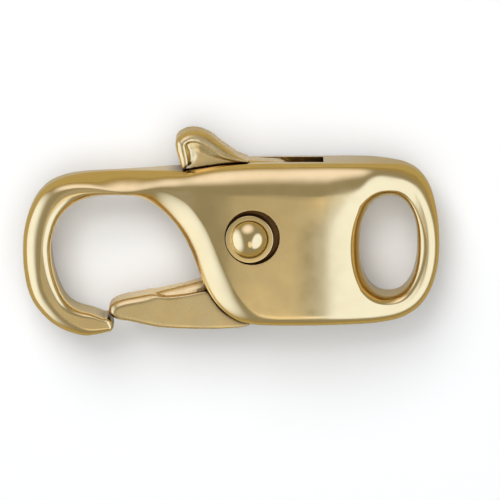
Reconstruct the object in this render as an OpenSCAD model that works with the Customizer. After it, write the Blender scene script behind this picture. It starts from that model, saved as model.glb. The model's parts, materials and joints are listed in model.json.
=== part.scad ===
// Lobster clasp lying on its side: a cast hook body, a sprung trigger lever and the rivet it turns on.
// Millimetres. X runs from the hook to the eye, Y up the clasp to the thumb piece, Z up from the surface it lies on.

/* [Overall] */
// length from the hook to the eye
clasp_length = 15; // [12:0.5:30]
// greatest thickness of the body, at the cheeks
body_thickness = 3; // [2.8:0.05:3.6]
// height of the centre of the pieces above the centre of the body
centre_rise = 0.34; // [-1:0.01:1]

/* [Eye] */
// width of the oval eye
eye_width = 2.1; // [1:0.05:4]
// height of the oval eye
eye_height = 3.66; // [1.5:0.05:6]
// squareness of the oval, where 2 is an ellipse
eye_squareness = 2.3; // [2:0.1:4]

/* [Slot] */
// width of the slot between the cheeks
slot_width = 1.2; // [0.9:0.05:1.3]
// gap between the lever and each cheek
side_gap = 0.06; // [0.02:0.01:0.2]

/* [Rivet] */
// pivot, along the clasp from its middle
pivot_x = 0.66; // [0:0.01:2]
// pivot, up from the middle of the body
pivot_y = 0.27; // [-1:0.01:1]
// radius of the rivet's shaft
shaft_radius = 0.36; // [0.2:0.01:0.6]
// radial gap between the shaft and the lever
lever_fit = 0.04; // [0.01:0.01:0.1]
// radial gap between the shaft and the cheeks
cheek_fit = 0.02; // [0.01:0.01:0.1]
// radius of the flat flange under the dome
flange_radius = 0.86; // [0.6:0.01:1.2]
// radius of the dome
dome_radius = 0.64; // [0.4:0.01:1]
// height of the dome above the flange
dome_height = 0.46; // [0.2:0.01:0.8]
// radius of the recess that the flange sits in
recess_radius = 0.95; // [0.7:0.01:1.3]
// sideways offset of the recess from the rivet
recess_offset = 0.06; // [0:0.01:0.08]
// depth of the recess
recess_depth = 0.24; // [0.1:0.01:0.4]
// radius of the closed end on the underside
end_radius = 0.6; // [0.4:0.01:0.9]

/* [Lever] */
// thickness of the gate outside the body
gate_thickness = 1.88; // [1.2:0.02:2.6]
// thickness of the thumb piece
thumb_thickness = 1.92; // [1.2:0.02:2.6]
// edge rounding of the gate
gate_round = 0.11; // [0.04:0.01:0.3]
// edge rounding of the thumb piece
thumb_round = 0.2; // [0.05:0.01:0.4]
// depth of the hollow in each side of the thumb piece
thumb_hollow = 0.09; // [0:0.01:0.2]

/* [Hidden] */
k = clasp_length / 15;
gold = [0.8, 0.65, 0.35];
web_half = slot_width / 2 - side_gap;
fillet_steps = 5;
face_steps = 9;
hole_steps = 3;
ring_steps = 4;

// Cross lines of the body, from the hook's tip round the bend and along to the eye.
// x_out, y_out: outer edge; x_in, y_in: edge on the opening's side and then the lower edge;
// r_out, r_in: how far the rounding of each edge reaches over the face; d_out, d_in: how deep it goes
lines = [
    [-4.35, -3.21, -4.57, -2.74, 0.15, 0.12, 0.20, 0.16],
    [-4.85, -3.34, -5.02, -2.56, 0.22, 0.14, 0.26, 0.18],
    [-5.33, -3.39, -5.42, -2.45, 0.30, 0.18, 0.32, 0.20],
    [-5.90, -3.26, -5.78, -2.26, 0.38, 0.26, 0.38, 0.26],
    [-6.40, -3.01, -6.03, -1.97, 0.44, 0.34, 0.42, 0.32],
    [-6.83, -2.62, -6.21, -1.60, 0.48, 0.40, 0.44, 0.38],
    [-7.15, -2.18, -6.33, -1.24, 0.50, 0.44, 0.46, 0.42],
    [-7.35, -1.66, -6.42, -0.88, 0.52, 0.45, 0.46, 0.42],
    [-7.47, -0.96, -6.47, -0.50, 0.52, 0.45, 0.46, 0.42],
    [-7.50, -0.26, -6.48, -0.10, 0.52, 0.45, 0.46, 0.42],
    [-7.45, 0.43, -6.40, 0.34, 0.52, 0.45, 0.46, 0.42],
    [-7.26, 1.12, -6.23, 0.80, 0.52, 0.45, 0.46, 0.42],
    [-6.96, 1.70, -5.97, 1.16, 0.50, 0.45, 0.46, 0.42],
    [-6.54, 2.11, -5.62, 1.43, 0.48, 0.44, 0.44, 0.40],
    [-6.03, 2.35, -5.20, 1.61, 0.44, 0.42, 0.42, 0.38],
    [-5.43, 2.48, -4.72, 1.71, 0.40, 0.42, 0.38, 0.36],
    [-4.73, 2.54, -4.25, 1.745, 0.38, 0.42, 0.36, 0.36],
    [-4.05, 2.575, -3.85, 1.74, 0.36, 0.44, 0.34, 0.36],
    [-3.45, 2.595, -3.45, 1.70, 0.36, 0.50, 0.34, 0.36],
    [-2.95, 2.61, -3.10, 1.59, 0.35, 0.62, 0.33, 0.38],
    [-2.40, 2.63, -2.72, 1.38, 0.34, 0.76, 0.32, 0.40],
    [-1.80, 2.65, -2.35, 1.09, 0.33, 0.90, 0.30, 0.42],
    [-1.15, 2.74, -1.98, 0.70, 0.31, 1.00, 0.28, 0.44],
    [-0.50, 2.84, -1.68, 0.25, 0.29, 1.08, 0.27, 0.46],
    [0.20, 2.90, -1.43, -0.25, 0.28, 1.16, 0.26, 0.48],
    [0.90, 2.93, -1.20, -0.85, 0.28, 1.20, 0.26, 0.50],
    [1.50, 2.94, -0.96, -1.45, 0.28, 1.12, 0.26, 0.50],
    [2.00, 2.94, -0.60, -2.06, 0.28, 0.86, 0.26, 0.46],
    [2.35, 2.945, -0.16, -2.51, 0.28, 0.56, 0.26, 0.38],
    [2.65, 2.945, 0.32, -2.79, 0.28, 0.36, 0.26, 0.30],
    [2.90, 2.945, 0.86, -2.89, 0.28, 0.28, 0.26, 0.26],
    [3.15, 2.945, 1.50, -2.915, 0.28, 0.26, 0.26, 0.25],
    [3.40, 2.945, 2.30, -2.92, 0.28, 0.26, 0.26, 0.25],
    [3.67, 2.945, 3.12, -2.92, 0.28, 0.27, 0.26, 0.25],
    [3.95, 2.945, 3.95, -2.915, 0.28, 0.28, 0.26, 0.26],
];

// Outer edge of the eye, clockwise from the top.
// x, y: edge; r_out, d_out: rounding of the edge over the face and its depth; r_eye: rounding of the hole's edge
rim = [
    [3.95, 2.945, 0.28, 0.26, 0.14],
    [4.60, 2.945, 0.34, 0.30, 0.14],
    [5.25, 2.93, 0.42, 0.36, 0.15],
    [5.80, 2.89, 0.46, 0.40, 0.17],
    [6.30, 2.80, 0.48, 0.42, 0.19],
    [6.72, 2.58, 0.48, 0.42, 0.21],
    [7.03, 2.22, 0.46, 0.40, 0.24],
    [7.24, 1.78, 0.42, 0.36, 0.27],
    [7.38, 1.25, 0.40, 0.32, 0.29],
    [7.47, 0.66, 0.38, 0.28, 0.30],
    [7.50, 0.03, 0.38, 0.28, 0.30],
    [7.475, -0.60, 0.38, 0.28, 0.30],
    [7.37, -1.21, 0.38, 0.28, 0.28],
    [7.16, -1.79, 0.37, 0.28, 0.25],
    [6.84, -2.27, 0.36, 0.29, 0.22],
    [6.43, -2.59, 0.34, 0.29, 0.20],
    [5.92, -2.79, 0.33, 0.28, 0.18],
    [5.25, -2.885, 0.31, 0.28, 0.16],
    [4.60, -2.91, 0.29, 0.27, 0.14],
    [3.95, -2.915, 0.28, 0.26, 0.14],
];

// Thickness along the clasp, as a share of the greatest one: x, share
thickness = [
    [-8.0, 0.60],
    [-4.4, 0.60],
    [-3.6, 0.63],
    [-2.8, 0.70],
    [-1.9, 0.82],
    [-1.1, 0.93],
    [-0.3, 0.985],
    [0.6, 1.0],
    [3.0, 1.0],
    [3.5, 0.965],
    [4.1, 0.885],
    [4.65, 0.80],
    [5.4, 0.69],
    [6.1, 0.585],
    [6.8, 0.475],
    [7.6, 0.36],
];

// Outline of the gate outside the body: x, y
gate = [
    [-4.42, -2.54],
    [-4.36, -2.39],
    [-4.19, -2.27],
    [-3.90, -2.15],
    [-3.45, -2.06],
    [-2.90, -2.02],
    [-2.30, -2.02],
    [-1.60, -2.04],
    [-1.00, -2.05],
    [-0.76, -2.08],
    [-0.52, -2.40],
    [-0.24, -2.66],
    [0.06, -2.87],
    [0.36, -2.98],
    [0.42, -3.03],
    [0.10, -3.09],
    [-0.35, -3.13],
    [-1.15, -3.14],
    [-2.05, -3.12],
    [-2.65, -3.07],
    [-3.15, -2.97],
    [-3.55, -2.88],
    [-3.98, -2.82],
    [-4.18, -2.77],
    [-4.36, -2.66],
];

// Outline of the thin web of the lever, in the slot: x, y
web = [
    [-2.90, -2.10],
    [-2.62, -1.90],
    [-2.05, -1.71],
    [-1.45, -1.59],
    [-1.12, -1.52],
    [-0.88, -1.25],
    [-0.92, -0.60],
    [-0.96, 0.10],
    [-0.98, 0.80],
    [-1.08, 1.50],
    [-1.28, 2.10],
    [-1.45, 2.55],
    [-1.48, 3.00],
    [-1.20, 3.40],
    [-0.60, 3.50],
    [-0.10, 3.33],
    [0.36, 3.00],
    [0.75, 2.92],
    [1.20, 2.84],
    [1.70, 2.70],
    [2.12, 2.48],
    [2.28, 2.15],
    [2.20, 1.50],
    [2.02, 0.60],
    [1.90, -0.40],
    [1.72, -1.40],
    [1.40, -2.25],
    [1.05, -2.76],
    [0.68, -2.95],
    [0.20, -3.03],
    [-0.60, -3.05],
    [-1.80, -3.04],
    [-2.50, -2.98],
    [-2.90, -2.70],
];

// Outline of the thumb piece above the body: x, y
thumb = [
    [-1.78, 2.78],
    [-1.89, 3.10],
    [-1.98, 3.42],
    [-2.00, 3.68],
    [-1.91, 3.84],
    [-1.71, 3.98],
    [-1.48, 4.06],
    [-1.20, 4.06],
    [-0.96, 4.00],
    [-0.72, 3.88],
    [-0.38, 3.62],
    [-0.10, 3.38],
    [0.06, 3.20],
    [0.02, 3.07],
    [-0.35, 2.99],
    [-0.80, 2.92],
    [-1.30, 2.84],
];

// Slot between the cheeks: x, y
slot = [
    [-1.62, 3.6],
    [-1.62, -0.4],
    [-2.2, -1.6],
    [-2.2, -3.6],
    [1.55, -3.6],
    [1.55, -2.7],
    [2.7, -1.2],
    [3.32, -0.4],
    [3.32, 3.6],
];

// A value on the smooth curve through four neighbours, from b at t = 0 to c at t = 1
function curve(a, b, c, d, t) =
    0.5 * (2 * b + (c - a) * t + (2 * a - 5 * b + 4 * c - d) * t * t + (3 * b - a - 3 * c + d) * t * t * t);

// The rows of an open table with new rows between them, steps to each old one
function smoothed(rows, steps) =
    let (last = len(rows) - 1)
    [
        for (i = [0 : last - 1], j = [0 : steps - 1])
            curve(rows[max(i - 1, 0)], rows[i], rows[i + 1], rows[min(i + 2, last)], j / steps),
        rows[last],
    ];

// The rows of a closed outline with new rows between them
function smoothed_loop(rows, steps) =
    let (n = len(rows))
    [
        for (i = [0 : n - 1], j = [0 : steps - 1])
            curve(rows[(i + n - 1) % n], rows[i], rows[(i + 1) % n], rows[(i + 2) % n], j / steps),
    ];

// The eye's slope starts further along the clasp near its top edge
function slope_shift(x, y) =
    0.2 * pow(max(0, min(y, 2.7)), 2) * max(0, min(1, (6.6 - x) / 1.8)) * max(0, min(1, (x - 2.2) / 1.2));

// Half the thickness of the body at a place on its face
function half_at(x, y) = body_thickness / 2 * min(1, lookup(x - slope_shift(x, y), smooth_thickness));

smooth_thickness = smoothed(thickness, 4);

// One point of a face: a place, how far it drops under the face, and which side
function face_point(p, drop, side) = [p[0] * k, p[1] * k, side * (half_at(p[0], p[1]) - drop)];

// The upper or lower half of a cross line, from its outer edge to its inner edge
function half_line(r, side) =
    let (
        outer = [r[0], r[1]],
        inner = [r[2], r[3]],
        reach = norm(inner - outer),
        dir = (inner - outer) / reach,
        fit = min(1, 0.98 * reach / (r[4] + r[5]))
    )
    [
        for (i = [0 : fillet_steps])
            let (a = 90 * i / fillet_steps)
            face_point(outer + dir * r[4] * fit * (1 - cos(a)), r[6] * (1 - sin(a)), side),
        for (i = [1 : face_steps])
            let (t = i / (face_steps + 1), d = r[4] * fit + (reach - (r[4] + r[5]) * fit) * t)
            face_point(outer + dir * d, 0, side),
        for (i = [fillet_steps : -1 : 0])
            let (a = 90 * i / fillet_steps)
            face_point(inner - dir * r[5] * fit * (1 - cos(a)), r[7] * (1 - sin(a)), side),
    ];

// A whole cross line as a closed loop of points
function loop(r) =
    let (up = half_line(r, 1), down = half_line(r, -1))
    [
        [r[0] * k, r[1] * k, 0],
        for (p = up) p,
        [r[2] * k, r[3] * k, 0],
        for (i = [len(down) - 1 : -1 : 0]) down[i],
    ];

// The rounded end at the hook's tip: the first line moved out and drawn in
function tip_line(a) =
    let (
        r = lines[0],
        e = 0.19,
        outer = [r[0], r[1]],
        inner = [r[2], r[3]],
        dir = (inner - outer) / norm(inner - outer),
        out = [dir[1], -dir[0]] * e * sin(a),
        in = e * (1 - cos(a)),
        o = outer + dir * in + out,
        n = inner - dir * in + out
    )
    [o[0], o[1], n[0], n[1], r[4] * 0.8, r[5] * 0.8, r[6] + in * 0.9, r[7] + in * 0.9];

tip_drop = [for (a = [80, 55, 28]) 0.19 * (1 - cos(a))];
tip_loops = [for (i = [0 : 2]) [for (p = loop(tip_line([80, 55, 28][i])))
    [p[0], p[1], p[2] - sign(p[2]) * tip_drop[i]]]];
body_loops = [for (r = smoothed(lines, 2)) loop(r)];
loops = concat(tip_loops, body_loops);
loop_size = len(loops[0]);

// The oval hole, at an angle about its centre
eye_x = 5.68;
eye_y = -0.09;
function eye_edge(a) =
    let (
        c = cos(a),
        s = sin(a),
        e = 2 / eye_squareness,
        u = pow(pow(abs(c) / (eye_width / 2), eye_squareness) + pow(abs(s) / (eye_height / 2), eye_squareness),
            -1 / eye_squareness)
    )
    [eye_x + u * c, eye_y + u * s];

function angle_of(p) = atan2(p[1] - eye_y, p[0] - eye_x);

// One side of a line across the eye's ring, from the hole to the edge; on the seam it ends on the body's face
function ring_half(p, inward, r_out, d_out, r_eye, seam, side) =
    let (
        a = angle_of(p),
        hole = eye_edge(a),
        stop = p + inward * r_out,
        way = (stop - hole) / norm(stop - hole),
        room = min(r_eye, 0.6 * norm(stop - hole)),
        d_eye = min(r_eye, 0.28)
    )
    [
        for (i = [0 : hole_steps])
            let (b = 90 * i / hole_steps)
            face_point(hole + way * room * (1 - cos(b)), d_eye * (1 - sin(b)), side),
        for (i = [1 : ring_steps])
            let (t = i / (ring_steps + 1))
            face_point(hole + way * (room + (norm(stop - hole) - room) * t), 0, side),
        if (seam)
            face_point(p, 0, side)
        else
            for (i = [fillet_steps : -1 : 0])
                let (b = 90 * i / fillet_steps)
                face_point(p + inward * r_out * (1 - cos(b)), d_out * (1 - sin(b)), side),
    ];

// Ring lines along the outer edge; the first and the last lie on the body's last cross line
rim_rows = smoothed(rim, 2);
function rim_inward(i) =
    let (
        n = len(rim_rows) - 1,
        a = rim_rows[max(i - 1, 0)],
        b = rim_rows[min(i + 1, n)],
        d = [b[1] - a[1], a[0] - b[0]]
    )
    i == 0 ? [0, -1] : i == n ? [0, 1] : d / norm(d);
rim_count = len(rim_rows);
rim_points = [
    for (i = [0 : rim_count - 1])
        let (r = rim_rows[i])
        concat(
            [[eye_edge(angle_of(r))[0] * k, eye_edge(angle_of(r))[1] * k, 0]],
            ring_half([r[0], r[1]], rim_inward(i), r[2], r[3], r[4], false, 1),
            ring_half([r[0], r[1]], rim_inward(i), r[2], r[3], r[4], false, -1),
            [[r[0] * k, r[1] * k, 0]]
        ),
];

// Ring lines on the seam, from the lower end to the upper one
last = lines[len(lines) - 1];
seam_y = [for (i = [face_steps : -1 : 1])
    let (t = i / (face_steps + 1))
    last[1] - last[4] - (last[1] - last[3] - last[4] - last[5]) * t];
seam_points = [
    for (y = seam_y)
        let (p = [last[0], y], h = eye_edge(angle_of([last[0], y])))
        concat(
            [[h[0] * k, h[1] * k, 0]],
            ring_half(p, [0, 0], 0, 0, 0.14, true, 1),
            ring_half(p, [0, 0], 0, 0, 0.14, true, -1)
        ),
];

// Two triangles for the four corners a, b, c, d
function quad(a, b, c, d) = [[a, b, c], [a, c, d]];
function joined(lists) = [for (l = lists, x = l) x];

// The strip from the tip to the seam: points, then faces
strip_points = joined(loops);
strip_count = len(loops);
strip_faces = joined([
    for (i = [0 : strip_count - 2], j = [0 : loop_size - 1])
        let (m = (j + 1) % loop_size)
        quad(i * loop_size + j, (i + 1) * loop_size + j, (i + 1) * loop_size + m, i * loop_size + m),
]);
tip_face = [[for (j = [0 : loop_size - 1]) j]];

// Numbers of the ring's points. Those on the seam are the body's own.
half_size = 2 * (fillet_steps + 1) + face_steps;
last_loop = (strip_count - 1) * loop_size;
ring_inner = hole_steps + 1 + ring_steps;
rim_half = ring_inner + fillet_steps + 1;
seam_half = ring_inner + 1;
rim_base = len(strip_points);
rim_size = 2 * rim_half + 2;
seam_base = rim_base + rim_count * rim_size;
seam_size = 2 * seam_half + 1;

// A point of the body's last loop, counted from its outer edge, on the upper (1) or lower (-1) side
function body_index(j, side) = last_loop + (side > 0 ? 1 + j : loop_size - 1 - j);

// A rim line's point: 0 is in the hole's wall, then up the face to the outer edge's wall
function rim_index(i, j, side) =
    let (own = rim_base + i * rim_size)
    j == 0 ? own
    : j <= ring_inner ? own + j + (side > 0 ? 0 : rim_half)
    : i == 0 ? (j == rim_half + 1 ? last_loop : body_index(fillet_steps - (j - ring_inner - 1), side))
    : i == rim_count - 1 ? (j == rim_half + 1 ? last_loop + 1 + half_size
        : body_index(half_size - 1 - fillet_steps + (j - ring_inner - 1), side))
    : j == rim_half + 1 ? own + rim_size - 1
    : own + j + (side > 0 ? 0 : rim_half);

// A seam line's point, the last of them on the body's face
function seam_index(i, j, side) =
    let (own = seam_base + i * seam_size)
    j == 0 ? own
    : j == seam_half ? body_index(fillet_steps + face_steps - i, side)
    : own + j + (side > 0 ? 0 : seam_half);

function facing(f, side) = side < 0 ? f : [for (t = f) [t[2], t[1], t[0]]];

ring_faces = concat(
    joined([
        for (i = [0 : rim_count - 2], j = [0 : rim_half], side = [1, -1])
            facing(quad(rim_index(i, j, side), rim_index(i + 1, j, side),
                rim_index(i + 1, j + 1, side), rim_index(i, j + 1, side)), side),
    ]),
    joined([
        for (i = [0 : face_steps - 2], j = [0 : seam_half - 1], side = [1, -1])
            facing(quad(seam_index(i, j, side), seam_index(i + 1, j, side),
                seam_index(i + 1, j + 1, side), seam_index(i, j + 1, side)), side),
    ]),
    joined([
        for (j = [0 : ring_inner], side = [1, -1])
            facing(quad(rim_index(rim_count - 1, j, side), seam_index(0, j, side),
                seam_index(0, j + 1, side), rim_index(rim_count - 1, j + 1, side)), side),
    ]),
    joined([
        for (j = [0 : ring_inner], side = [1, -1])
            facing(quad(seam_index(face_steps - 1, j, side), rim_index(0, j, side),
                rim_index(0, j + 1, side), seam_index(face_steps - 1, j + 1, side)), side),
    ])
);

// Puts a piece drawn about the body's middle where the clasp lies
module placed() {
    translate([0, -centre_rise * k, body_thickness / 2])
        children();
}

// A plate with rounded edges and hollow faces, from a closed outline that runs clockwise round a middle point
module rounded_plate(outline, middle, half, round, hollow = 0) {
    pts = smoothed_loop(outline, 2);
    n = len(pts);
    // height, inset of the outline, and how far it is drawn in to the middle
    edge = [for (a = [0, 30, 60, 90]) [half - round * (1 - cos(a)), round * (1 - sin(a)), 1]];
    dish = hollow > 0 ? [for (t = [0.35, 0.7]) [half - hollow * (1 - t * t), round, t]] : [];
    upper = concat(dish, edge);
    levels = concat(upper, [for (i = [len(upper) - 1 : -1 : 0]) [-upper[i][0], upper[i][1], upper[i][2]]]);
    rings = [
        for (l = levels, i = [0 : n - 1])
            let (
                d = pts[(i + 1) % n] - pts[(i + n - 1) % n],
                p = pts[i] + [d[1], -d[0]] / norm(d) * l[1],
                q = (middle + (p - middle) * l[2]) * k
            )
            [q[0], q[1], l[0]],
    ];
    centres = [for (side = [1, -1]) [middle[0] * k, middle[1] * k, side * (half - hollow)]];
    under = (len(levels) - 1) * n;
    sides = joined([
        for (l = [0 : len(levels) - 2], i = [0 : n - 1])
            let (m = (i + 1) % n)
            quad(l * n + m, l * n + i, (l + 1) * n + i, (l + 1) * n + m),
    ]);
    top = [for (i = [0 : n - 1]) [i, (i + 1) % n, under + n]];
    bottom = [for (i = [0 : n - 1]) [under + (i + 1) % n, under + i, under + n + 1]];
    polyhedron(points = concat(rings, centres), faces = concat(sides, top, bottom), convexity = 6);
}

// One casting: the hook, the two cheeks and the oval eye
module hook_body() {
    color(gold)
        placed()
            difference() {
                polyhedron(
                    points = concat(strip_points, joined(rim_points), joined(seam_points)),
                    faces = concat(strip_faces, tip_face, ring_faces),
                    convexity = 10
                );
                linear_extrude(height = slot_width, center = true)
                    polygon(slot * k);
                translate([pivot_x * k, pivot_y * k, 0])
                    cylinder(r = shaft_radius + cheek_fit, h = 3 * body_thickness, center = true, $fn = 64);
                translate([pivot_x * k + recess_offset, pivot_y * k + recess_offset / 3,
                    body_thickness / 2 - recess_depth])
                    cylinder(r = recess_radius, h = body_thickness, $fn = 64);
                translate([pivot_x * k, pivot_y * k, -1.5 * body_thickness + recess_depth])
                    cylinder(r = end_radius + cheek_fit, h = body_thickness, $fn = 64);
            }
}

// One casting: the gate, the web round the rivet and the thumb piece
module trigger_lever() {
    color(gold)
        placed()
            difference() {
                union() {
                    rounded_plate(gate, [-1.8, -2.6], gate_thickness / 2, gate_round);
                    linear_extrude(height = 2 * web_half, center = true)
                        polygon(smoothed_loop(web, 2) * k);
                    rounded_plate(thumb, [-1.2, 3.45], thumb_thickness / 2, thumb_round, thumb_hollow);
                }
                translate([pivot_x * k, pivot_y * k, 0])
                    cylinder(r = shaft_radius + lever_fit, h = body_thickness, center = true, $fn = 64);
            }
}

// The rivet: a closed end on the underside, the shaft, a flange in its recess and a dome
module pivot_rivet() {
    flange_top = body_thickness / 2 - 0.03;
    flange_base = body_thickness / 2 - recess_depth + 0.02;
    end_top = -body_thickness / 2 + recess_depth - 0.02;
    end_base = -body_thickness / 2 + 0.02;
    ball = (dome_radius * dome_radius + dome_height * dome_height) / (2 * dome_height);
    color(gold)
        placed()
            translate([pivot_x * k, pivot_y * k, 0]) {
                rotate_extrude($fn = 64)
                    union() {
                        polygon([
                            [0, end_base],
                            [end_radius, end_base],
                            [end_radius, end_top],
                            [shaft_radius, end_top],
                            [shaft_radius, flange_base],
                            [flange_radius, flange_base],
                            [flange_radius, flange_top],
                            [0, flange_top],
                        ]);
                        intersection() {
                            translate([0, flange_top + dome_height - ball])
                                circle(r = ball, $fn = 64);
                            translate([0, flange_top - 0.05])
                                square([dome_radius, dome_height + 0.1]);
                        }
                    }
            }
}

hook_body();
trigger_lever();
pivot_rivet();
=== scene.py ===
"""Looks of the lobster clasp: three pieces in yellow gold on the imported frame, lit and framed."""

import json
import math

import bmesh
import bpy
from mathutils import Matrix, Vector


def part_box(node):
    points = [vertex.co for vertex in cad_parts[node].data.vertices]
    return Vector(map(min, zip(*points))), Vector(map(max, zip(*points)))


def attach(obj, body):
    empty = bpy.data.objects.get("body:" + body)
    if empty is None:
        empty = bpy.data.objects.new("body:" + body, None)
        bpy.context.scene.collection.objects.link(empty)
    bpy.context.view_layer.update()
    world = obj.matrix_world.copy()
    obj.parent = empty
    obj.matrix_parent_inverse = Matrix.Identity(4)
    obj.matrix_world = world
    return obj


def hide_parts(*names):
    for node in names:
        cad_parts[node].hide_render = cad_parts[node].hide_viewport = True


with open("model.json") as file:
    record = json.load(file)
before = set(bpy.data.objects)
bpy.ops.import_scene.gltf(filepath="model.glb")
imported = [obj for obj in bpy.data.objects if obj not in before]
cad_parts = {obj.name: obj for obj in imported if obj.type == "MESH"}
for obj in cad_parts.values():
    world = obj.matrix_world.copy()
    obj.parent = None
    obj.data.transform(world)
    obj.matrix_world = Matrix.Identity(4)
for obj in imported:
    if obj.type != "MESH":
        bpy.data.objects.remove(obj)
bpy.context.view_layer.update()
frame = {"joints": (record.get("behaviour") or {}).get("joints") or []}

bl_info = {
    "name": "Lobster Clasp",
    "version": (1, 0, 0),
    "blender": (4, 5, 0),
    "location": "3D View > Sidebar > Clasp",
    "description": "Models a polished gold lobster clasp piece by piece, with its stage",
    "category": "Object",
}

# Pieces are modelled in millimetres about the middle of the body, then scaled to metres and laid in place.
MM = 0.001
BODY_LOW, BODY_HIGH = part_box("hook_body")
BODY_THICKNESS = BODY_HIGH.z - BODY_LOW.z
MIDDLE = Vector((0.0, -0.34 * MM, BODY_THICKNESS / 2))
PIVOT = Vector(frame["joints"][0]["pos_m"]) - MIDDLE

# Height of the cheeks' faces over the middle, and the place of the rivet's axis, in mm
FACE = BODY_THICKNESS / MM / 2
HUB = Vector((PIVOT.x / MM, PIVOT.y / MM, 0))

# Cross lines of the body, from the hook's tip round the bend and along to the eye, in mm.
# x_out, y_out: outer edge; x_in, y_in: edge on the opening's side and then the lower edge;
# r_out, r_in: how far the rounding of each edge reaches over the face; d_out, d_in: how deep it goes;
# n_out, n_in: 2 where the edge is round, less where it is more like a chamfer
LINES = [
    [-4.35, -3.21, -4.57, -2.74, 0.17, 0.14, 0.22, 0.20, 2.00, 2.00],
    [-4.85, -3.34, -5.02, -2.56, 0.24, 0.18, 0.28, 0.24, 2.00, 2.00],
    [-5.33, -3.39, -5.42, -2.45, 0.34, 0.22, 0.36, 0.28, 2.00, 2.00],
    [-5.90, -3.26, -5.78, -2.26, 0.46, 0.28, 0.46, 0.32, 2.00, 2.00],
    [-6.40, -3.01, -6.03, -1.97, 0.54, 0.34, 0.52, 0.34, 2.00, 2.00],
    [-6.83, -2.62, -6.21, -1.60, 0.60, 0.36, 0.55, 0.34, 2.00, 2.00],
    [-7.15, -2.18, -6.33, -1.24, 0.63, 0.37, 0.55, 0.33, 2.00, 2.00],
    [-7.35, -1.66, -6.42, -0.88, 0.66, 0.36, 0.55, 0.32, 2.00, 2.00],
    [-7.47, -0.96, -6.47, -0.50, 0.67, 0.35, 0.54, 0.31, 2.00, 2.00],
    [-7.50, -0.26, -6.48, -0.10, 0.67, 0.35, 0.54, 0.31, 2.00, 2.00],
    [-7.45, 0.43, -6.40, 0.34, 0.67, 0.36, 0.55, 0.31, 2.00, 2.00],
    [-7.26, 1.12, -6.23, 0.80, 0.64, 0.39, 0.55, 0.33, 2.00, 2.00],
    [-6.96, 1.70, -5.97, 1.16, 0.60, 0.42, 0.55, 0.35, 2.00, 2.00],
    [-6.54, 2.11, -5.62, 1.43, 0.54, 0.44, 0.57, 0.40, 1.95, 2.00],
    [-6.03, 2.35, -5.20, 1.61, 0.55, 0.36, 0.62, 0.40, 1.70, 1.90],
    [-5.43, 2.48, -4.72, 1.71, 0.63, 0.23, 0.67, 0.38, 1.50, 1.80],
    [-4.73, 2.54, -4.25, 1.745, 0.70, 0.14, 0.72, 0.30, 1.35, 1.80],
    [-4.05, 2.575, -3.85, 1.74, 0.70, 0.13, 0.72, 0.30, 1.35, 1.80],
    [-3.45, 2.595, -3.45, 1.70, 0.68, 0.20, 0.70, 0.38, 1.36, 1.65],
    [-2.95, 2.61, -3.10, 1.59, 0.64, 0.36, 0.66, 0.46, 1.44, 1.50],
    [-2.40, 2.63, -2.72, 1.38, 0.63, 0.58, 0.61, 0.46, 1.56, 1.42],
    [-1.80, 2.65, -2.35, 1.09, 0.70, 0.78, 0.59, 0.46, 1.68, 1.40],
    [-1.15, 2.74, -1.98, 0.70, 0.84, 0.93, 0.59, 0.47, 1.75, 1.38],
    [-0.50, 2.84, -1.68, 0.25, 1.00, 1.02, 0.62, 0.49, 1.75, 1.36],
    [0.20, 2.90, -1.43, -0.25, 1.12, 1.09, 0.64, 0.50, 1.75, 1.35],
    [0.90, 2.93, -1.20, -0.85, 1.18, 1.13, 0.64, 0.51, 1.75, 1.35],
    [1.50, 2.94, -0.96, -1.45, 1.20, 1.14, 0.64, 0.51, 1.75, 1.35],
    [2.00, 2.94, -0.60, -2.06, 1.20, 1.08, 0.64, 0.49, 1.75, 1.38],
    [2.35, 2.945, -0.16, -2.51, 1.20, 0.90, 0.64, 0.46, 1.75, 1.50],
    [2.65, 2.945, 0.32, -2.79, 1.20, 0.70, 0.64, 0.44, 1.75, 1.70],
    [2.90, 2.945, 0.86, -2.89, 1.20, 0.50, 0.64, 0.38, 1.75, 1.90],
    [3.15, 2.945, 1.50, -2.915, 1.18, 0.42, 0.63, 0.35, 1.75, 2.00],
    [3.40, 2.945, 2.30, -2.92, 1.16, 0.42, 0.62, 0.35, 1.75, 2.00],
    [3.67, 2.945, 3.12, -2.92, 1.12, 0.42, 0.61, 0.35, 1.75, 2.00],
    [3.95, 2.945, 3.95, -2.915, 1.08, 0.42, 0.60, 0.35, 1.75, 2.00],
]

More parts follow.
